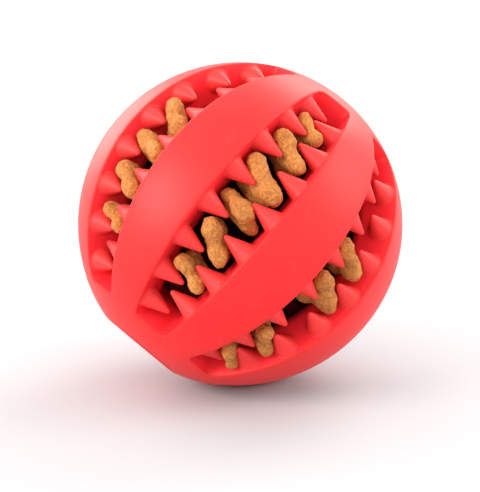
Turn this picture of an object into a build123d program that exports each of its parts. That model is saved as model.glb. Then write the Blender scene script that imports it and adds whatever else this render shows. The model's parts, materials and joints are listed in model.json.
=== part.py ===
"""Hollow rubber ball that holds dry treats between rows of soft cone teeth.

The ball lies on a floor with its centre at the origin and +Z up. Its poles lie on an axis
that leans towards +X. Eight slots run from pole to pole, and a row of teeth stands on each
of a slot's two walls. A treat that is pushed in between the teeth stays until it is worked out.
"""

import os
from math import cos, radians, sin

from build123d import *

# Ball, millimetres and degrees
ball_diameter = 70.0
wall = 8.5
pole_flat_diameter = 18.0
axis_lean = 43.6
slot_turn = -162.0

# Slots
slot_count = 8
slot_angle = 23.4
slot_end_latitude = 58.5
slot_end_depth = 10.8

# Teeth: the left row stands on the wall that a slot's longitude starts from
left_row_teeth = 8
right_row_teeth = 7
tooth_end_angle = 7.75
tooth_stagger = 0.6
tooth_row_shift_angle = -1.45
tooth_depth = 3.0
tooth_rim = 0.7
tooth_tip_diameter = 1.1
tip_channel = 2.0

# Treats: biscuits of four round lobes, each of the size that its place between the teeth takes
treat_lobes = 4
treat_lobe_share = 0.52
treat_tip_clearance = 0.2
treat_wall_clearance = 1.2
treat_edge_round = 1.0
treat_notch_round = 0.8
treat_slope = -24.0
treat_depth = 1.0

# Each treat has its slot, the gap above the left-row tooth of that number, and its turn,
# which points a lobe or a notch outwards
lobe_out = 0.0
notch_out = 180.0 / treat_lobes
treat_places = [
    (1, 2, notch_out),
    (1, 3, notch_out),
    (1, 4, notch_out),
    (1, 5, notch_out),
    (2, 2, notch_out),
    (2, 3, notch_out),
    (2, 4, lobe_out),
    (2, 5, notch_out),
    (2, 6, notch_out),
    (2, 7, notch_out),
    (3, 1, notch_out),
    (3, 2, notch_out),
    (3, 4, notch_out),
    (3, 5, notch_out),
]

# Sizes that follow
outer_radius = ball_diameter / 2
inner_radius = outer_radius - wall
tooth_circle_radius = outer_radius - tooth_depth
slot_pitch_angle = 360.0 / slot_count
band_angle = slot_pitch_angle - slot_angle
pole_flat_radius = pole_flat_diameter / 2
pole_flat_height = (outer_radius**2 - pole_flat_radius**2) ** 0.5
slot_width = 2 * tooth_circle_radius * sin(radians(slot_angle / 2))
tooth_pitch_angle = 2 * (slot_end_latitude - tooth_end_angle) / (left_row_teeth - 1)
tooth_length = (slot_width - tip_channel) / 2 / cos(radians(slot_angle / 2))
tooth_base_radius = tooth_depth - tooth_rim
tooth_tip_radius = tooth_tip_diameter / 2

# The poles' own directions: local Z runs through the poles, and local X points at slot 1
poles = Plane.XY.rotated((0, axis_lean, slot_turn))
polar_axis = Axis(poles.origin, poles.z_dir)


def outward(longitude, latitude):
    """The direction from the ball's centre to a place on it."""
    local = Vector(1, 0, 0).rotate(Axis.Y, -latitude).rotate(Axis.Z, longitude)
    return poles.from_local_coords(local)


def eastward(longitude):
    """The level direction, square to the poles, in which longitude grows."""
    return outward(longitude + 90, 0)


def meridian(longitude):
    """The half plane of one longitude: X away from the axis and Y towards the upper pole."""
    return Plane(poles.origin, x_dir=outward(longitude, 0), z_dir=-eastward(longitude))


def slot_longitude(slot):
    """The longitude of a slot's middle, with slots counted from 1."""
    return (slot - 1) * slot_pitch_angle


def tooth_seat(slot, side, number):
    """The plane of a tooth's base on its slot's wall, facing across the slot.

    Teeth are counted from the lower pole, and a right tooth stands above the left one of its number.
    """
    hand, shift = {"left": (-1, 0.0), "right": (1, tooth_stagger)}[side]
    longitude = slot_longitude(slot) + hand * slot_angle / 2
    place = number - (left_row_teeth + 1) / 2 + shift
    latitude = place * tooth_pitch_angle + tooth_row_shift_angle
    up = outward(longitude, latitude)
    return Plane(up * tooth_circle_radius, x_dir=up, z_dir=-hand * eastward(longitude))


os.makedirs("parts", exist_ok=True)

# Bands: the smooth ribs between the slots
for number in range(1, slot_count + 1):
    first_longitude = slot_longitude(number) + slot_angle / 2
    with BuildPart() as band:
        with BuildSketch(meridian(first_longitude)):
            with BuildLine():
                outside = CenterArc((0, 0), outer_radius, -slot_end_latitude, 2 * slot_end_latitude)
                inside = CenterArc((0, 0), inner_radius, -slot_end_latitude, 2 * slot_end_latitude)
                Line(outside @ 0, inside @ 0)
                Line(outside @ 1, inside @ 1)
            make_face()
        revolve(axis=polar_axis, revolution_arc=band_angle)
    band.part.label = f"band_{number}"
    export_step(band.part, f"parts/{band.part.label}.step")

# Pole caps: the thick closed ends that carry the bands, flat outside and inside
for name, end in (("upper", 1), ("lower", -1)):
    with BuildPart() as cap:
        with BuildSketch(meridian(0)):
            with BuildLine():
                rim_out = Vector(outer_radius, 0).rotate(Axis.Z, end * slot_end_latitude)
                rim_in = rim_out.normalized() * (outer_radius - slot_end_depth)
                flat_edge = Vector(pole_flat_radius, end * pole_flat_height)
                flat_middle = Vector(0, end * pole_flat_height)
                inside_middle = Vector(0, rim_in.Y)
                RadiusArc(rim_out, flat_edge, -end * outer_radius)
                Polyline(flat_edge, flat_middle, inside_middle, rim_in, rim_out)
            make_face()
        revolve(axis=polar_axis)
    cap.part.label = f"{name}_pole_cap"
    export_step(cap.part, f"parts/{cap.part.label}.step")

# One tooth: a cone that ends in a round tip, with its base on XY
with BuildPart() as tooth:
    with BuildSketch(Plane.XZ):
        tip_centre = Vector(0, tooth_length - tooth_tip_radius)
        with BuildLine():
            tip = CenterArc(tip_centre, tooth_tip_radius, 0, 90)
            Line(tip @ 0, (tooth_base_radius, 0))
            Polyline((tooth_base_radius, 0), (0, 0), tip @ 1)
        make_face()
    revolve(axis=Axis.Z)

# Tooth rows: the cones of the two walls of a slot stand between each other
for slot in range(1, slot_count + 1):
    for side, count in (("left", left_row_teeth), ("right", right_row_teeth)):
        with BuildPart() as row:
            with Locations(*[tooth_seat(slot, side, number) for number in range(1, count + 1)]):
                add(tooth.part)
        row.part.label = f"slot_{slot}_{side}_teeth"
        export_step(row.part, f"parts/{row.part.label}.step")

# Treats: each stands on edge in its slot, midway between the tips of a left and a right tooth
for number, (slot, gap, turn) in enumerate(treat_places, start=1):
    left_seat = tooth_seat(slot, "left", gap)
    right_seat = tooth_seat(slot, "right", gap)
    left_tip = left_seat.offset(tooth_length).origin
    right_tip = right_seat.offset(tooth_length).origin
    up = (left_tip + right_tip).normalized()
    level = poles.z_dir.cross(up).normalized()
    across = level.rotate(Axis(poles.origin, up), treat_slope)
    face = up.cross(across)
    tip_gap = (right_tip - left_tip).dot(face) - tooth_tip_diameter
    wall_gap = (right_seat.origin - left_seat.origin).dot(level)
    thickness = tip_gap - 2 * treat_tip_clearance
    room = wall_gap - 2 * treat_wall_clearance
    width = room / (treat_lobe_share + (1 - treat_lobe_share) * cos(radians(turn)))
    lobe_radius = width * treat_lobe_share / 2
    lobe_offset = width / 2 - lobe_radius
    middle = up * (outer_radius - treat_depth - room / 2)
    with BuildPart() as treat:
        with BuildSketch(Plane(middle, x_dir=up, z_dir=face)) as outline:
            with PolarLocations(lobe_offset, treat_lobes, start_angle=turn):
                Circle(lobe_radius)
            fillet(outline.vertices(), treat_notch_round)
        extrude(amount=thickness / 2, both=True)
        rims = treat.faces().filter_by(GeomType.PLANE).edges()
        fillet(rims, min(treat_edge_round, thickness / 2 - treat_tip_clearance))
    treat.part.label = f"treat_{number}"
    export_step(treat.part, f"parts/{treat.part.label}.step")
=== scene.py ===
"""Treat ball: a slotted red rubber ball with rows of cone teeth that hold baked biscuits.

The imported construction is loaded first. Each operator then makes one group of pieces around it, in metres,
in the same frame: the ball's centre is the origin, +Z is up, and the ball lies on the floor.
"""

import json
import math

import bmesh
import bpy
from bpy.props import FloatProperty, FloatVectorProperty, IntProperty, PointerProperty
from mathutils import Matrix, Vector, noise


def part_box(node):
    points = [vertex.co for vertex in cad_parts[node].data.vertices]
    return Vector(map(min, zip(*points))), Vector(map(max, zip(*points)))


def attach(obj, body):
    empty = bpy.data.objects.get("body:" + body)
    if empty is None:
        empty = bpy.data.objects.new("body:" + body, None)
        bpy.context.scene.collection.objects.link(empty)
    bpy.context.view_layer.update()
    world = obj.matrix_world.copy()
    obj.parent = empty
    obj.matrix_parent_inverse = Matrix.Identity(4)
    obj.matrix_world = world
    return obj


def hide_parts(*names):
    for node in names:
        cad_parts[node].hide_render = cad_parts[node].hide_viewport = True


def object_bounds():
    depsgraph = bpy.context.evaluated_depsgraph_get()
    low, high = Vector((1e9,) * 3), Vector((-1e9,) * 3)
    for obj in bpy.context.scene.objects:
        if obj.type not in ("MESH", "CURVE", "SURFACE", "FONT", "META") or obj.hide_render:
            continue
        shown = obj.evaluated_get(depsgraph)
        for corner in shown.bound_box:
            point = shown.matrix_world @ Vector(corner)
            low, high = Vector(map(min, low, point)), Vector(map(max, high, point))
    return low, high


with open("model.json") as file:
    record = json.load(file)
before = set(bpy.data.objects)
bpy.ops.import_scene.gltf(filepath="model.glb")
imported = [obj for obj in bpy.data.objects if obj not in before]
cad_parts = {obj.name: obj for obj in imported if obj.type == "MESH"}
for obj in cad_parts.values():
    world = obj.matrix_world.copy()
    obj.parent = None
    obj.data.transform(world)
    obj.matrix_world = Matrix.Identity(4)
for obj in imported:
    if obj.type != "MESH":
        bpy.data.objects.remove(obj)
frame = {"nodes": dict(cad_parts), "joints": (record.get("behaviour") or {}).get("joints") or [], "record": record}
CAD_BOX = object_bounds()

bl_info = {
    "name": "Treat Ball",
    "version": (1, 0, 0),
    "blender": (4, 5, 0),
    "location": "3D View > Sidebar > Treat Ball",
    "description": "Makes a slotted rubber treat ball, its tooth rows and the biscuits that it holds",
    "category": "Add Mesh",
}

MM = 0.001
BALL_BODY = "ball"

# The frame gives the ball's radius and the direction of its upper pole
BALL_RADIUS = (CAD_BOX[1].z - CAD_BOX[0].z) / 2
MOUNTS = {mount["name"]: mount for mount in frame["record"]["mounts"]}
POLE = Vector(MOUNTS["upper_pole_flat"]["axis"]).normalized()
POLE_FLAT_HEIGHT = Vector(MOUNTS["upper_pole_flat"]["pos_m"]).length

# The photograph's frame in pixels, and the pixel that the ball's centre falls on
IMAGE_LONG_SIDE = 492
IMAGE_CENTRE_ROW = 246.0
BALL_CENTRE_ROW = 225.0

# Gloss and colours that no setting changes
RUBBER_SPECULAR = 0.3
CRUST_SPECULAR = 0.35
PALE_SPECK_COLOUR = (0.95, 0.45, 0.38)
FLOOR_COLOUR = (0.48, 0.50, 0.54)
# Near-black colour of the sheet of painted shade that lines the ball's hollow
HOLLOW_SHADE_COLOUR = (0.045, 0.003, 0.004)

# Distances from the ball's centre between which the floor fades out
FLOOR_FADE = (0.16, 0.55)


class BallSizes(bpy.types.PropertyGroup):
    """Sizes of the rubber shell."""

    slots: IntProperty(name="Slots", description="Slots from pole to pole", default=8, min=3)
    slot_turn: FloatProperty(
        name="Slot Turn",
        description="Turn of the slots about the poles",
        default=math.radians(-162),
        subtype="ANGLE",
    )
    slot_angle: FloatProperty(
        name="Slot Angle",
        description="Width of a slot, as an angle about the poles",
        default=math.radians(23.4),
        subtype="ANGLE",
    )
    slot_end: FloatProperty(
        name="Slot End",
        description="Latitude where a slot ends",
        default=math.radians(58.5),
        subtype="ANGLE",
    )
    wall: FloatProperty(
        name="Wall", description="Thickness of the rubber", default=8.5 * MM, unit="LENGTH"
    )
    slot_end_depth: FloatProperty(
        name="Slot End Depth",
        description="Depth of the rubber at a slot's ends",
        default=10.8 * MM,
        unit="LENGTH",
    )
    slot_edge: FloatProperty(
        name="Slot Edge",
        description="Rounding of the edges along a slot",
        default=0.38 * MM,
        unit="LENGTH",
    )
    slot_corner: FloatProperty(
        name="Slot Corner",
        description="Rounding of the four corners of a slot",
        default=1.1 * MM,
        unit="LENGTH",
    )
    pole_edge: FloatProperty(
        name="Pole Edge",
        description="Rounding of the rim of a pole's flat",
        default=0.9 * MM,
        unit="LENGTH",
    )


class ToothSizes(bpy.types.PropertyGroup):
    """Sizes of the cone teeth."""

    left_row: IntProperty(name="Left Row", description="Teeth in a left row", default=8, min=2)
    right_row: IntProperty(name="Right Row", description="Teeth in a right row", default=7, min=1)
    end_angle: FloatProperty(
        name="End Angle",
        description="Angle from a slot's end to the first tooth of a left row",
        default=math.radians(7.75),
        subtype="ANGLE",
    )
    stagger: FloatProperty(
        name="Stagger",
        description="Share of a tooth's pitch by which the right row is ahead",
        default=0.6,
        min=0,
        max=1,
    )
    row_shift: FloatProperty(
        name="Row Shift",
        description="Latitude of the middle of a left row",
        default=math.radians(-1.45),
        subtype="ANGLE",
    )
    depth: FloatProperty(
        name="Depth",
        description="Depth of a tooth's middle under the ball's surface",
        default=3 * MM,
        unit="LENGTH",
    )
    rim: FloatProperty(
        name="Rim",
        description="Wall left on each side of a tooth's cone",
        default=0.7 * MM,
        unit="LENGTH",
    )
    root: FloatProperty(
        name="Root",
        description="Radius of the hollow where a tooth grows out of the wall",
        default=0.5 * MM,
        unit="LENGTH",
    )
    tip: FloatProperty(
        name="Tip", description="Diameter of a tooth's round tip", default=1.1 * MM, unit="LENGTH"
    )
    channel: FloatProperty(
        name="Channel",
        description="Free width between the tips of the two rows",
        default=2 * MM,
        unit="LENGTH",
    )


class BiscuitSizes(bpy.types.PropertyGroup):
    """Shape of the baked biscuits."""

    lobes: IntProperty(name="Lobes", description="Round lobes of a biscuit", default=4, min=2)
    lobe_share: FloatProperty(
        name="Lobe Share",
        description="Width of one lobe as a share of the biscuit's width",
        default=0.52,
        min=0.3,
        max=0.9,
    )
    slope: FloatProperty(
        name="Slope",
        description="Slant of a biscuit across its slot",
        default=math.radians(-24),
        subtype="ANGLE",
    )
    puff: FloatProperty(
        name="Puff",
        description="Squareness of the rim, from 2 for a round one upwards",
        default=2.4,
        min=2,
        max=6,
    )
    lobe_thickness: FloatProperty(
        name="Lobe Thickness",
        description="Least thickness of a lobe as a share of the biscuit's width",
        default=0.40,
        min=0.1,
        max=1,
    )
    flare: FloatProperty(
        name="Flare",
        description="Share by which a biscuit widens outwards, as its slot does",
        default=0.15,
        min=0,
        max=0.5,
    )
    waist: FloatProperty(
        name="Waist",
        description="Share by which the dough between two lobes is thinner than the middle",
        default=0.06,
        min=0,
        max=0.9,
    )
    swell: FloatProperty(
        name="Swell",
        description="How far the baked crust stands out of the packed solid",
        default=0.15 * MM,
        unit="LENGTH",
    )
    dents: FloatProperty(
        name="Dents", description="Depth of the baked dents", default=1.1 * MM, unit="LENGTH"
    )
    crust: FloatProperty(
        name="Crust", description="Depth of the crust's grain", default=0.4 * MM, unit="LENGTH"
    )
    stray: FloatProperty(
        name="Stray",
        description="Turn of a biscuit out of its neat place, about an axis of its own",
        default=math.radians(7),
        subtype="ANGLE",
    )


class Finishes(bpy.types.PropertyGroup):
    """Colours of the rubber and of the biscuits."""

    rubber: FloatVectorProperty(
        name="Rubber",
        description="Colour of the rubber",
        default=(0.80, 0.016, 0.018),
        subtype="COLOR",
        min=0,
        max=1,
    )
    # Painted bounce light: a brighter red on the slots' walls stands for the red light that bounces between them
    slot: FloatVectorProperty(
        name="Slot",
        description="Colour of the rubber in the slots, where it glows in its own light",
        default=(0.90, 0.022, 0.034),
        subtype="COLOR",
        min=0,
        max=1,
    )
    tooth: FloatVectorProperty(
        name="Tooth",
        description="Colour of the rubbed rubber of the teeth",
        default=(0.82, 0.032, 0.032),
        subtype="COLOR",
        min=0,
        max=1,
    )
    # Painted shade: the inside wall is coloured dark because little light reaches it
    hollow: FloatVectorProperty(
        name="Hollow",
        description="Colour of the unlit inside wall",
        default=(0.22, 0.003, 0.004),
        subtype="COLOR",
        min=0,
        max=1,
    )
    crust_pale: FloatVectorProperty(
        name="Pale Crust",
        description="Colour of a biscuit's raised grain",
        default=(0.60, 0.248, 0.066),
        subtype="COLOR",
        min=0,
        max=1,
    )
    crust: FloatVectorProperty(
        name="Crust",
        description="Main colour of a biscuit",
        default=(0.44, 0.155, 0.034),
        subtype="COLOR",
        min=0,
        max=1,
    )
    crust_dark: FloatVectorProperty(
        name="Dark Crust",
        description="Colour of a biscuit's pits and burnt grain",
        default=(0.25, 0.072, 0.015),
        subtype="COLOR",
        min=0,
        max=1,
    )


class Value:
    """One output of a shader node, with Python's own operators for numbers."""

    def __init__(self, finish, output):
        self.finish = finish
        self.output = output

    def combine(self, operation, first, second):
        """Adds one Math node."""
        return self.finish.node("ShaderNodeMath", {"operation": operation}, {0: first, 1: second})

    def __add__(self, other):
        return self.combine("ADD", self, other)

    def __radd__(self, other):
        return self.combine("ADD", other, self)

    def __sub__(self, other):
        return self.combine("SUBTRACT", self, other)

    def __rsub__(self, other):
        return self.combine("SUBTRACT", other, self)

    def __mul__(self, other):
        return self.combine("MULTIPLY", self, other)

    def __rmul__(self, other):
        return self.combine("MULTIPLY", other, self)


class Finish:
    """A material under construction."""

    def __init__(self, name):
        self.material = bpy.data.materials.new(name)
        self.material.use_nodes = True
        self.tree = self.material.node_tree
        self.tree.nodes.clear()

    def node(self, kind, settings=None, inputs=None, output=0):
        """Adds a node, its settings first, a ramp's stops among them, and gives one of its outputs."""
        made = self.tree.nodes.new(kind)
        for name, value in (settings or {}).items():
            if name == "stops":
                for element, (position, colour) in zip(ramp_stops(made, len(value)), value):
                    element.position = position
                    element.color = colour
            else:
                setattr(made, name, value)
        for name, value in (inputs or {}).items():
            if isinstance(value, Value):
                self.tree.links.new(value.output, made.inputs[name])
            else:
                made.inputs[name].default_value = value
        return Value(self, made.outputs[output]) if made.outputs else None

    def place(self):
        """Where a spot lies in the ball's own frame."""
        return self.node("ShaderNodeTexCoord", output="Object")

    def from_centre(self, place):
        """How far a spot lies from the ball's centre."""
        return self.node("ShaderNodeVectorMath", {"operation": "LENGTH"}, {0: place}, "Value")

    def grain(self, place, size, detail=2.0, roughness=0.5):
        """Soft noise from 0 to 1 whose lumps are about as large as size."""
        sockets = {"Vector": place, "Scale": 1 / size, "Detail": detail, "Roughness": roughness}
        return self.node("ShaderNodeTexNoise", {"noise_dimensions": "3D"}, sockets)

    def fade(self, value, low, high):
        """0 up to low, 1 from high, and smooth between."""
        sockets = {"Value": value, "From Min": low, "From Max": high}
        return self.node("ShaderNodeMapRange", {"interpolation_type": "SMOOTHSTEP"}, sockets)

    def blend(self, share, first, second):
        """A colour between two colours, whose sockets go by number because their names repeat."""
        sockets = {0: share, 6: first, 7: second}
        return self.node("ShaderNodeMix", {"data_type": "RGBA"}, sockets, 2)

    def bump(self, height, depth, strength):
        """Normals for a height from 0 to 1 that stands for a real depth."""
        sockets = {"Height": height, "Distance": depth, "Strength": strength}
        return self.node("ShaderNodeBump", {}, sockets)

    def surface(self, sockets):
        """Ends the material in one shader with these sockets."""
        return self.end(self.node("ShaderNodeBsdfPrincipled", {}, sockets))

    def end(self, shader):
        """Links a shader to the material's output."""
        self.node("ShaderNodeOutputMaterial", {}, {"Surface": shader})
        return self.material


def ramp_stops(node, count):
    """The stops of a colour ramp, brought to a count."""
    elements = node.color_ramp.elements
    while len(elements) < count:
        elements.new(1.0)
    return elements


def rgba(colour):
    """A colour as a socket takes it, with nothing see-through."""
    return (*colour, 1.0)


def rubber_finish(name, finishes, inner_radius):
    """Satin moulded rubber, with painted bounce light on the slots' walls and painted shade on the inside of the
    ball.
    """
    finish = Finish(name)
    place = finish.place()
    cloud = finish.grain(place, size=14 * MM)
    skin = finish.grain(place, size=0.5 * MM, detail=3.0)
    rubbed = finish.grain(place, size=5 * MM, detail=5.0, roughness=0.7)
    scuff = finish.fade(rubbed, low=0.58, high=0.72)
    deeper = tuple(0.88 * part for part in finishes.rubber)
    paler = tuple(part + 0.015 for part in finishes.rubber)
    red = finish.blend(cloud, rgba(deeper), rgba(finishes.rubber))
    red = finish.blend(scuff * 0.5, red, rgba(paler))
    reach = finish.from_centre(place)
    # Painted bounce light: under the outer surface, on the slots' walls, the colour turns to the brighter slot red
    outside = finish.fade(reach, low=BALL_RADIUS - 1.0 * MM, high=BALL_RADIUS - 0.3 * MM)
    red = finish.blend(outside, rgba(finishes.slot), red)
    # Painted shade: the wall turns dark towards the inner radius, where the hollow lies in shade
    lit = finish.fade(reach, low=inner_radius + 0.1 * MM, high=inner_radius + 2.0 * MM)
    return finish.surface(
        {
            "Base Color": finish.blend(lit, rgba(finishes.hollow), red),
            "Roughness": 0.40 + 0.10 * cloud + 0.06 * scuff,
            "Specular IOR Level": RUBBER_SPECULAR,
            "Normal": finish.bump(skin, depth=0.05 * MM, strength=0.25),
        }
    )


def tooth_finish(name, finishes):
    """The same rubber, rubbed smooth, with pale pink specks in random patches."""
    finish = Finish(name)
    place = finish.place()
    cloud = finish.grain(place, size=6 * MM)
    skin = finish.grain(place, size=0.5 * MM, detail=3.0)
    # Pale pink specks, in random patches, on the teeth
    specks = finish.grain(place, size=0.45 * MM, roughness=0.6)
    pale_specks = finish.fade(specks, low=0.70, high=0.76)
    patches = finish.fade(finish.grain(place, size=3 * MM), low=0.52, high=0.62)
    deeper = tuple(0.9 * part for part in finishes.tooth)
    red = finish.blend(cloud, rgba(deeper), rgba(finishes.tooth))
    return finish.surface(
        {
            "Base Color": finish.blend(pale_specks * patches * 0.6, red, rgba(PALE_SPECK_COLOUR)),
            "Roughness": 0.42 + 0.12 * cloud,
            "Specular IOR Level": RUBBER_SPECULAR,
            "Normal": finish.bump(skin, depth=0.06 * MM, strength=0.3),
        }
    )


def biscuit_finish(name, finishes):
    """Dry baked crust: golden, grainy and pitted."""
    finish = Finish(name)
    place = finish.place()
    bake = finish.grain(place, size=3.2 * MM, detail=3.0, roughness=0.55)
    meal = finish.grain(place, size=0.6 * MM, detail=4.0, roughness=0.7)
    flour = finish.grain(place, size=0.24 * MM)
    tone = 0.35 * bake + 0.45 * meal + 0.45 * flour - 0.125
    ramp = finish.node(
        "ShaderNodeValToRGB",
        {
            "stops": [
                (0.33, rgba(finishes.crust_dark)),
                (0.48, rgba(finishes.crust)),
                (0.62, rgba(finishes.crust_pale)),
            ]
        },
        {"Fac": tone},
    )
    height = 0.6 * meal + 0.4 * flour
    return finish.surface(
        {
            "Base Color": ramp,
            "Roughness": 0.72 + 0.2 * flour,
            "Specular IOR Level": CRUST_SPECULAR,
            "Normal": finish.bump(height, depth=0.28 * MM, strength=0.8),
        }
    )


def floor_finish():
    """Pale paper that fades out at a distance."""
    finish = Finish("pale_floor")
    paper = finish.node("ShaderNodeBsdfDiffuse", {}, {"Color": rgba(FLOOR_COLOUR)})
    clear = finish.node("ShaderNodeBsdfTransparent")
    share = finish.fade(finish.from_centre(finish.place()), *FLOOR_FADE)
    return finish.end(finish.node("ShaderNodeMixShader", {}, {0: share, 1: paper, 2: clear}))


def shade_finish():
    """A near-black sheet of painted shade that returns little light."""
    finish = Finish("painted_hollow_shade")
    return finish.end(finish.node("ShaderNodeBsdfDiffuse", {}, {"Color": rgba(HOLLOW_SHADE_COLOUR)}))


def pole_frame(sizes):
    """Turns the poles' own frame, Z through the poles and X at slot 1, into the ball's."""
    lean = Vector((0, 0, 1)).rotation_difference(POLE).to_matrix().to_4x4()
    return lean @ Matrix.Rotation(sizes.slot_turn, 4, "Z")


def as_mesh(bm, name):
    """Ends a bmesh as a mesh."""
    mesh = bpy.data.meshes.new(name)
    bm.to_mesh(mesh)
    bm.free()
    return mesh


def as_object(bm, name, material):
    """Ends a bmesh as an object of one material in the scene."""
    mesh = as_mesh(bm, name)
    mesh.materials.append(material)
    made = bpy.data.objects.new(name, mesh)
    bpy.context.scene.collection.objects.link(made)
    return made


def as_piece(bm, name, material, slot, body, *nodes):
    """Ends a bmesh as a smooth object that rides on a body and stands for its nodes."""
    piece = as_object(bm, name, material)
    piece.data.shade_smooth()
    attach(piece, body)
    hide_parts(*nodes)


def round_edges(bm, edges, offset):
    """Rounds edges in the three steps that such small roundings need."""
    bmesh.ops.bevel(
        bm,
        geom=edges,
        offset=offset,
        affect="EDGES",
        segments=3,
        profile=0.5,
        material=-1,
    )


def settings_of(context):
    """The four groups of settings: ball, teeth, biscuits and finishes."""
    scene = context.scene
    return scene.treat_ball, scene.treat_ball_teeth, scene.treat_ball_biscuits, scene.treat_ball_finishes


class TREATBALL_OT_shell(bpy.types.Operator):
    """Mould the rubber shell: bands, slots and flat poles in one wall"""

    bl_idname = "treat_ball.shell"
    bl_label = "Mould Shell"

    # Rows and columns of the first sphere, which fall on the slots' edges
    rows = 80
    slot_columns = 13
    band_columns = 12
    # Cuts between the outside and the inside edge of a slot's wall
    wall_cuts = 4
    # The inside is flat from this far before a slot's end
    cap_margin = math.radians(1)
    # Faces that meet more sharply than this are a slot's wall and the outside or inside of the ball
    rim_angle = math.radians(60)

    def execute(self, context):
        sizes, _, _, finishes = settings_of(context)
        columns = sizes.slots * (self.slot_columns + self.band_columns)
        inner_radius = BALL_RADIUS - sizes.wall
        bm = bmesh.new()
        bmesh.ops.create_uvsphere(bm, u_segments=columns, v_segments=self.rows, radius=BALL_RADIUS)
        # Turned by half a column, the sphere has the columns' edges on the slots' sides
        half_column = Matrix.Rotation(math.pi / columns, 3, "Z")
        bmesh.ops.rotate(bm, cent=(0, 0, 0), matrix=half_column, verts=bm.verts)
        self.cut_slots(bm, sizes)
        self.round_corners(bm, sizes)
        self.give_wall(bm, sizes, inner_radius)
        self.flatten_poles(bm, sizes)
        self.face_outwards(bm)
        self.round_slots(bm, sizes)
        bmesh.ops.transform(bm, matrix=pole_frame(sizes), verts=bm.verts)
        bands = [name for name in frame["nodes"] if name.startswith("band_")]
        caps = [name for name in frame["nodes"] if name.endswith("_pole_cap")]
        material = rubber_finish("red_rubber", finishes, inner_radius)
        as_piece(bm, "ball_shell", material, "rubber", BALL_BODY, *bands, *caps)
        return {"FINISHED"}

    def cut_slots(self, bm, sizes):
        """Opens the slots between the bands."""
        opened = []
        for face in bm.faces:
            _, off_slot, latitude = self.on_ball(face.calc_center_median(), sizes)
            if abs(latitude) < sizes.slot_end and abs(off_slot) < sizes.slot_angle / 2:
                opened.append(face)
        bmesh.ops.delete(bm, geom=opened, context="FACES")

    def on_ball(self, spot, sizes):
        """The longitude of the nearest slot's middle, the longitude off it, and the latitude."""
        pitch = math.tau / sizes.slots
        longitude = math.atan2(spot.y, spot.x)
        slot = pitch * round(longitude / pitch)
        return slot, longitude - slot, math.atan2(spot.z, math.hypot(spot.x, spot.y))

    def round_corners(self, bm, sizes):
        """Draws the edge of each slot's corner onto an arc."""
        reach = sizes.slot_corner
        for vertex in bm.verts:
            slot, off_slot, latitude = self.on_ball(vertex.co, sizes)
            ring = BALL_RADIUS * math.cos(latitude)
            from_side = ring * (sizes.slot_angle / 2 - abs(off_slot))
            from_end = BALL_RADIUS * (sizes.slot_end - abs(latitude))
            if vertex.is_boundary and max(from_side, from_end) < reach:
                arc = Vector((from_side - reach, from_end - reach)).normalized() * reach
                off_slot = math.copysign(sizes.slot_angle / 2 - (arc.x + reach) / ring, off_slot)
                latitude = math.copysign(sizes.slot_end - (arc.y + reach) / BALL_RADIUS, latitude)
                turn = Matrix.Rotation(slot + off_slot, 3, "Z") @ Matrix.Rotation(-latitude, 3, "Y")
                vertex.co = turn @ Vector((BALL_RADIUS, 0, 0))

    def give_wall(self, bm, sizes, inner_radius):
        """Makes the inside wall, with the slots' walls pointing at the ball's centre."""
        made = bmesh.ops.extrude_face_region(bm, geom=bm.faces[:], use_keep_orig=True)
        flat_height = (BALL_RADIUS - sizes.slot_end_depth) * math.sin(sizes.slot_end)
        for vertex in [item for item in made["geom"] if isinstance(item, bmesh.types.BMVert)]:
            rise = abs(vertex.co.z) / BALL_RADIUS
            in_cap = math.asin(min(rise, 1.0)) > sizes.slot_end - self.cap_margin
            vertex.co *= (flat_height / rise if in_cap else inner_radius) / BALL_RADIUS

    def flatten_poles(self, bm, sizes):
        """Cuts both poles flat and rounds the rims."""
        for end in (1, -1):
            cut = bmesh.ops.bisect_plane(
                bm,
                geom=bm.verts[:] + bm.edges[:] + bm.faces[:],
                plane_co=(0, 0, end * POLE_FLAT_HEIGHT),
                plane_no=(0, 0, end),
                clear_outer=True,
            )
            rim = [item for item in cut["geom_cut"] if isinstance(item, bmesh.types.BMEdge)]
            bmesh.ops.contextual_create(bm, geom=rim)
            round_edges(bm, rim, sizes.pole_edge)

    def face_outwards(self, bm):
        """Points every face out of the rubber, which a hollow shell can get the wrong way round."""
        bmesh.ops.recalc_face_normals(bm, faces=bm.faces)
        if bm.calc_volume(signed=True) < 0:
            bmesh.ops.reverse_faces(bm, faces=bm.faces)

    def round_slots(self, bm, sizes):
        """Cuts the slots' walls finer and rounds the edges along the slots."""
        depths = [edge for edge in bm.edges if self.goes_through(edge, sizes)]
        bmesh.ops.subdivide_edges(bm, edges=depths, cuts=self.wall_cuts, use_grid_fill=True)
        rims = [edge for edge in bm.edges if edge.calc_face_angle(0) > self.rim_angle]
        round_edges(bm, rims, sizes.slot_edge)

    def goes_through(self, edge, sizes):
        """True for an edge from the outside to the inside of the wall."""
        near, far = sorted(vertex.co.length for vertex in edge.verts)
        return far - near > sizes.wall / 2


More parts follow.
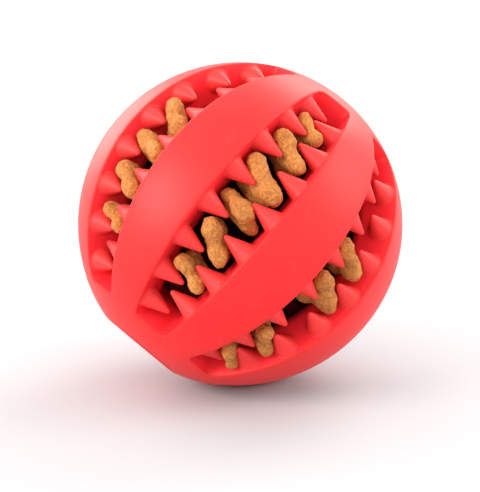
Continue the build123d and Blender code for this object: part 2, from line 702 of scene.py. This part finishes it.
class TREATBALL_OT_teeth(bpy.types.Operator):
    """Set the two rows of cone teeth in every slot"""

    bl_idname = "treat_ball.teeth"
    bl_label = "Set Teeth"

    sides = 24
    tip_steps = 3
    root_steps = 3
    # How far a tooth's base is sunk in the wall, and the distance under which points become one
    sunk = 0.25 * MM
    merge = 0.001 * MM

    def execute(self, context):
        sizes, teeth, _, finishes = settings_of(context)
        material = tooth_finish("tooth_rubber", finishes)
        to_ball = pole_frame(sizes)
        tooth = self.spin_tooth(sizes, teeth)
        for slot in range(1, sizes.slots + 1):
            for side, count in (("left", teeth.left_row), ("right", teeth.right_row)):
                bm = bmesh.new()
                for number in range(1, count + 1):
                    placed = tooth.copy()
                    placed.transform(to_ball @ self.seat(sizes, teeth, slot, side, number))
                    bm.from_mesh(placed)
                    bpy.data.meshes.remove(placed)
                node = f"slot_{slot}_{side}_teeth"
                as_piece(bm, f"slot_{slot}_{side}_row", material, "tooth_rubber", BALL_BODY, node)
        bpy.data.meshes.remove(tooth)
        return {"FINISHED"}

    def seat(self, sizes, teeth, slot, side, number):
        """Puts Z across the slot and X outwards, at a tooth's place on its wall."""
        hand, ahead = {"left": (-1, 0.0), "right": (1, teeth.stagger)}[side]
        pitch = 2 * (sizes.slot_end - teeth.end_angle) / (teeth.left_row - 1)
        latitude = (number - (teeth.left_row + 1) / 2 + ahead) * pitch + teeth.row_shift
        longitude = (slot - 1) * math.tau / sizes.slots + hand * sizes.slot_angle / 2
        turn = Matrix.Rotation(longitude, 4, "Z") @ Matrix.Rotation(-latitude, 4, "Y")
        out = Matrix.Translation((BALL_RADIUS - teeth.depth, 0, 0))
        across = Matrix.Rotation(hand * math.pi / 2, 4, "X")
        return turn @ out @ across

    def spin_tooth(self, sizes, teeth):
        """Spins a tooth's outline from the middle of its base to its round tip."""
        bm = bmesh.new()
        corners = [bm.verts.new((radius, 0, height)) for radius, height in self.outline(sizes, teeth)]
        edges = [bm.edges.new(pair) for pair in zip(corners, corners[1:])]
        bmesh.ops.spin(
            bm,
            geom=corners + edges,
            cent=(0, 0, 0),
            axis=(0, 0, 1),
            angle=math.tau,
            steps=self.sides,
            use_merge=True,
        )
        bmesh.ops.remove_doubles(bm, verts=bm.verts, dist=self.merge)
        bmesh.ops.recalc_face_normals(bm, faces=bm.faces)
        return as_mesh(bm, "tooth")

    def outline(self, sizes, teeth):
        """The tooth's half outline, as radius and height above the wall."""
        half = sizes.slot_angle / 2
        slot_width = 2 * (BALL_RADIUS - teeth.depth) * math.sin(half)
        length = (slot_width - teeth.channel) / 2 / math.cos(half)
        base = teeth.depth - teeth.rim
        tip = teeth.tip / 2
        flank = math.atan2(base - tip, length - tip)
        points = [(0.0, -self.sunk), (base + teeth.root, -self.sunk)]
        for step in range(self.root_steps + 1):
            angle = step / self.root_steps * (math.pi / 2 - flank)
            radius = base + teeth.root * (1 - math.sin(angle))
            points.append((radius, teeth.root * (1 - math.cos(angle))))
        for step in range(self.tip_steps + 1):
            angle = flank + step / self.tip_steps * (math.pi / 2 - flank)
            points.append((tip * math.cos(angle), length - tip + tip * math.sin(angle)))
        points[-1] = (0.0, length)
        return points


class TREATBALL_OT_biscuits(bpy.types.Operator):
    """Bake a lobed biscuit for every place between the teeth"""

    bl_idname = "treat_ball.biscuits"
    bl_label = "Bake Biscuits"

    fineness = 6
    # Lumps of the noises that dent the dough, grain its crust and choose the axis of its stray turn
    dent_size = 3.0 * MM
    crust_size = 1.0 * MM
    stray_size = 1.7 * MM
    stray_seed = 2
    # Roughness, step and number of the layers of the crust's noise
    crust_layers = (1.0, 2.0, 4)
    # A lobe that points outwards reaches this share of the half width at least
    lobe_reach = 0.97
    # Biscuits that are larger than the gap that the unbent teeth leave
    growth = {"treat_11": 1.2}
    # Biscuits that lie steeper or flatter across their slot than the others
    leans = {"treat_6": math.radians(-18), "treat_7": math.radians(11), "treat_10": math.radians(-10)}
    # Biscuits whose outer edge is pushed towards the upper pole or, below zero, towards the lower one
    tilts = {
        "treat_4": math.radians(16),
        "treat_8": math.radians(22),
        "treat_11": math.radians(-10),
        "treat_13": math.radians(16),
    }

    def execute(self, context):
        _, teeth, shape, finishes = settings_of(context)
        material = biscuit_finish("baked_biscuit", finishes)
        # Without a seed, the stray turns would differ from run to run
        noise.seed_set(self.stray_seed)
        for joint in frame["joints"]:
            node = joint["child"]
            up = Vector(joint["axis"]).normalized()
            low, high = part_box(node)
            middle = (low + high) / 2
            bm = bmesh.new()
            bmesh.ops.create_icosphere(bm, subdivisions=self.fineness, radius=1)
            side = self.press(bm, shape, node, up, middle)
            self.bake(bm, shape)
            bmesh.ops.rotate(bm, cent=middle, matrix=self.stray(shape, middle), verts=bm.verts)
            tips = up * (BALL_RADIUS - teeth.depth)
            tilt = Matrix.Rotation(-self.tilts.get(node, 0.0), 3, side)
            bmesh.ops.rotate(bm, cent=tips, matrix=tilt, verts=bm.verts)
            bmesh.ops.recalc_face_normals(bm, faces=bm.faces)
            name = node.replace("treat", "biscuit")
            as_piece(bm, name, material, "biscuit", node, node)
        return {"FINISHED"}

    def press(self, bm, shape, node, up, middle):
        """Presses a ball of dough into the lobed form of its solid, and gives its sideways direction."""
        level = POLE.cross(up).normalized()
        face = up.cross(Matrix.Rotation(shape.slope, 3, up) @ level)
        points = [vertex.co - middle for vertex in frame["nodes"][node].data.vertices]
        growth = self.growth.get(node, 1.0)
        half_thick = growth * max(point.dot(face) for point in points)
        half_wide = growth * max((point - face * point.dot(face)).length for point in points)
        lobe_out = growth * max(point.dot(up) for point in points) > self.lobe_reach * half_wide
        half_lobe = half_thick if lobe_out else max(half_thick, half_wide * shape.lobe_thickness)
        turn = 0.0 if lobe_out else math.pi / shape.lobes
        notch = self.notch(shape, half_wide)
        face = Matrix.Rotation(self.leans.get(node, 0.0), 3, up) @ face
        side = face.cross(up)
        power = 2 / shape.puff
        for vertex in bm.verts:
            x, y, z = vertex.co
            angle = math.atan2(y, x)
            spread = min(1.0, math.hypot(x, y))
            crown = (1 + math.cos(shape.lobes * (angle - turn))) / 2
            reach = notch + (half_wide - notch) * crown
            rim = half_lobe * crown + half_thick * (1 - shape.waist) * (1 - crown)
            flat = reach * spread**power
            rise = flat * math.cos(angle)
            wide = flat * math.sin(angle) * (1 + shape.flare * rise / half_wide)
            height = (half_thick + spread * (rim - half_thick)) * math.copysign(abs(z) ** power, z)
            vertex.co = middle + up * rise + side * wide + face * height
        return side

    def bake(self, bm, shape):
        """Swells the dough, dents it and grains its crust."""
        bm.normal_update()
        for vertex in bm.verts:
            dent = noise.noise(vertex.co / self.dent_size)
            crust = noise.fractal(vertex.co / self.crust_size, *self.crust_layers)
            vertex.co += vertex.normal * (shape.swell + shape.dents / 2 * dent + shape.crust / 2 * crust)

    def notch(self, shape, half_wide):
        """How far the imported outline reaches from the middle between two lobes."""
        lobe = half_wide * shape.lobe_share
        off_lobe = math.pi / shape.lobes
        offset = half_wide - lobe
        aside = offset * math.sin(off_lobe)
        return offset * math.cos(off_lobe) + math.sqrt(lobe * lobe - aside * aside)

    def stray(self, shape, middle):
        """A small turn that differs from biscuit to biscuit."""
        axis = noise.noise_vector(middle / self.stray_size)
        return Matrix.Rotation(shape.stray, 3, axis.normalized())


class TREATBALL_OT_stage(bpy.types.Operator):
    """Set the pale floor, the soft lights and the camera"""

    bl_idname = "treat_ball.stage"
    bl_label = "Set Stage"

    floor_radius = 0.7
    floor_sides = 96
    # The dark lining of painted shade in the hollow, and the half angle of its opening at a biscuit
    shade_radius = 25.5 * MM
    shade_fineness = 5
    shade_window = math.radians(15)
    # Place in metres, width in metres and power in watts of each light
    lights = {
        "key_light": ((-0.73, -0.11, 0.31), 0.40, 5.0),
        "side_light": ((0.63, -0.34, 0.35), 0.40, 2.6),
        "rim_light": ((-0.22, 0.72, 0.34), 0.50, 2.6),
        "back_light": ((0.52, 0.31, 0.50), 0.50, 3.0),
    }
    warm_white = (1.0, 0.95, 0.88)
    sky_colour = (1.0, 0.96, 0.90)
    sky_strength = 1.5
    azimuth = math.radians(-23.2)
    elevation = math.radians(10.0)
    camera_distance = 0.2485
    near_limit = 0.01
    lens = 83.6

    def execute(self, context):
        self.lay_floor()
        self.shade_hollow()
        self.light_world(context.scene)
        for name, (place, size, power) in self.lights.items():
            self.add_light(name, place, size, power)
        self.add_camera(context.scene)
        context.scene.view_settings.view_transform = "Standard"
        return {"FINISHED"}

    def lay_floor(self):
        """Lays a disc of pale paper under the ball."""
        bm = bmesh.new()
        bmesh.ops.create_circle(bm, cap_ends=True, segments=self.floor_sides, radius=self.floor_radius)
        bmesh.ops.translate(bm, vec=(0, 0, CAD_BOX[0].z), verts=bm.verts)
        floor = as_object(bm, "floor", floor_finish())

    def shade_hollow(self):
        """Lines the hollow with a dark sheet of painted shade, open at each biscuit, to keep out light from the
        far side.
        """
        bm = bmesh.new()
        bmesh.ops.create_icosphere(bm, subdivisions=self.shade_fineness, radius=self.shade_radius)
        ways_out = [Vector(joint["axis"]).normalized() for joint in frame["joints"]]
        windows = [
            face
            for face in bm.faces
            if any(face.normal.dot(out) > math.cos(self.shade_window) for out in ways_out)
        ]
        bmesh.ops.delete(bm, geom=windows, context="FACES")
        shade = as_object(bm, "hollow_shade", shade_finish())

    def light_world(self, scene):
        """Surrounds the ball with a white studio."""
        world = bpy.data.worlds.new("white_studio")
        world.use_nodes = True
        sky = world.node_tree.nodes["Background"]
        sky.inputs["Color"].default_value = rgba(self.sky_colour)
        sky.inputs["Strength"].default_value = self.sky_strength
        scene.world = world

    def add_light(self, name, place, size, power):
        """Hangs a soft round light that points at the ball's centre."""
        light = bpy.data.lights.new(name, "AREA")
        light.shape = "DISK"
        light.size = size
        light.energy = power
        light.color = self.warm_white
        lamp = bpy.data.objects.new(name, light)
        lamp.location = place
        lamp.rotation_mode = "QUATERNION"
        lamp.rotation_quaternion = (-Vector(place)).to_track_quat("-Z", "Y")
        bpy.context.scene.collection.objects.link(lamp)

    def add_camera(self, scene):
        """Sets the camera at the photograph's viewing angle, dipped to bring the ball to its place."""
        level = math.cos(self.elevation)
        back = Vector(
            (math.sin(self.azimuth) * level, -math.cos(self.azimuth) * level, math.sin(self.elevation))
        )
        data = bpy.data.cameras.new("camera")
        data.lens = self.lens
        focal_pixels = self.lens / data.sensor_width * IMAGE_LONG_SIDE
        dip = math.atan((IMAGE_CENTRE_ROW - BALL_CENTRE_ROW) / focal_pixels)
        camera = bpy.data.objects.new("camera", data)
        camera.location = back * self.camera_distance
        camera.rotation_mode = "QUATERNION"
        aim = (-back).to_track_quat("-Z", "Y")
        camera.rotation_quaternion = aim @ Matrix.Rotation(-dip, 3, "X").to_quaternion()
        data.clip_start = self.near_limit
        scene.collection.objects.link(camera)
        scene.camera = camera


class VIEW3D_PT_treat_ball(bpy.types.Panel):
    """Sidebar panel of the treat ball"""

    bl_idname = "VIEW3D_PT_treat_ball"
    bl_label = "Treat Ball"
    bl_space_type = "VIEW_3D"
    bl_region_type = "UI"
    bl_category = "Treat Ball"

    def draw(self, context):
        layout = self.layout
        for group in settings_of(context):
            column = layout.column(align=True)
            for name in group.__annotations__:
                column.prop(group, name)
        for operator in OPERATORS:
            layout.operator(operator.bl_idname)


OPERATORS = (TREATBALL_OT_shell, TREATBALL_OT_teeth, TREATBALL_OT_biscuits, TREATBALL_OT_stage)
GROUPS = {
    "treat_ball": BallSizes,
    "treat_ball_teeth": ToothSizes,
    "treat_ball_biscuits": BiscuitSizes,
    "treat_ball_finishes": Finishes,
}
CLASSES = (*GROUPS.values(), *OPERATORS, VIEW3D_PT_treat_ball)


def register():
    for made in CLASSES:
        bpy.utils.register_class(made)
    for name, group in GROUPS.items():
        setattr(bpy.types.Scene, name, PointerProperty(type=group))


def unregister():
    for name in GROUPS:
        delattr(bpy.types.Scene, name)
    for made in reversed(CLASSES):
        bpy.utils.unregister_class(made)


def main():
    register()
    bpy.ops.treat_ball.shell()
    bpy.ops.treat_ball.teeth()
    bpy.ops.treat_ball.biscuits()
    bpy.ops.treat_ball.stage()


if __name__ == "__main__":
    main()
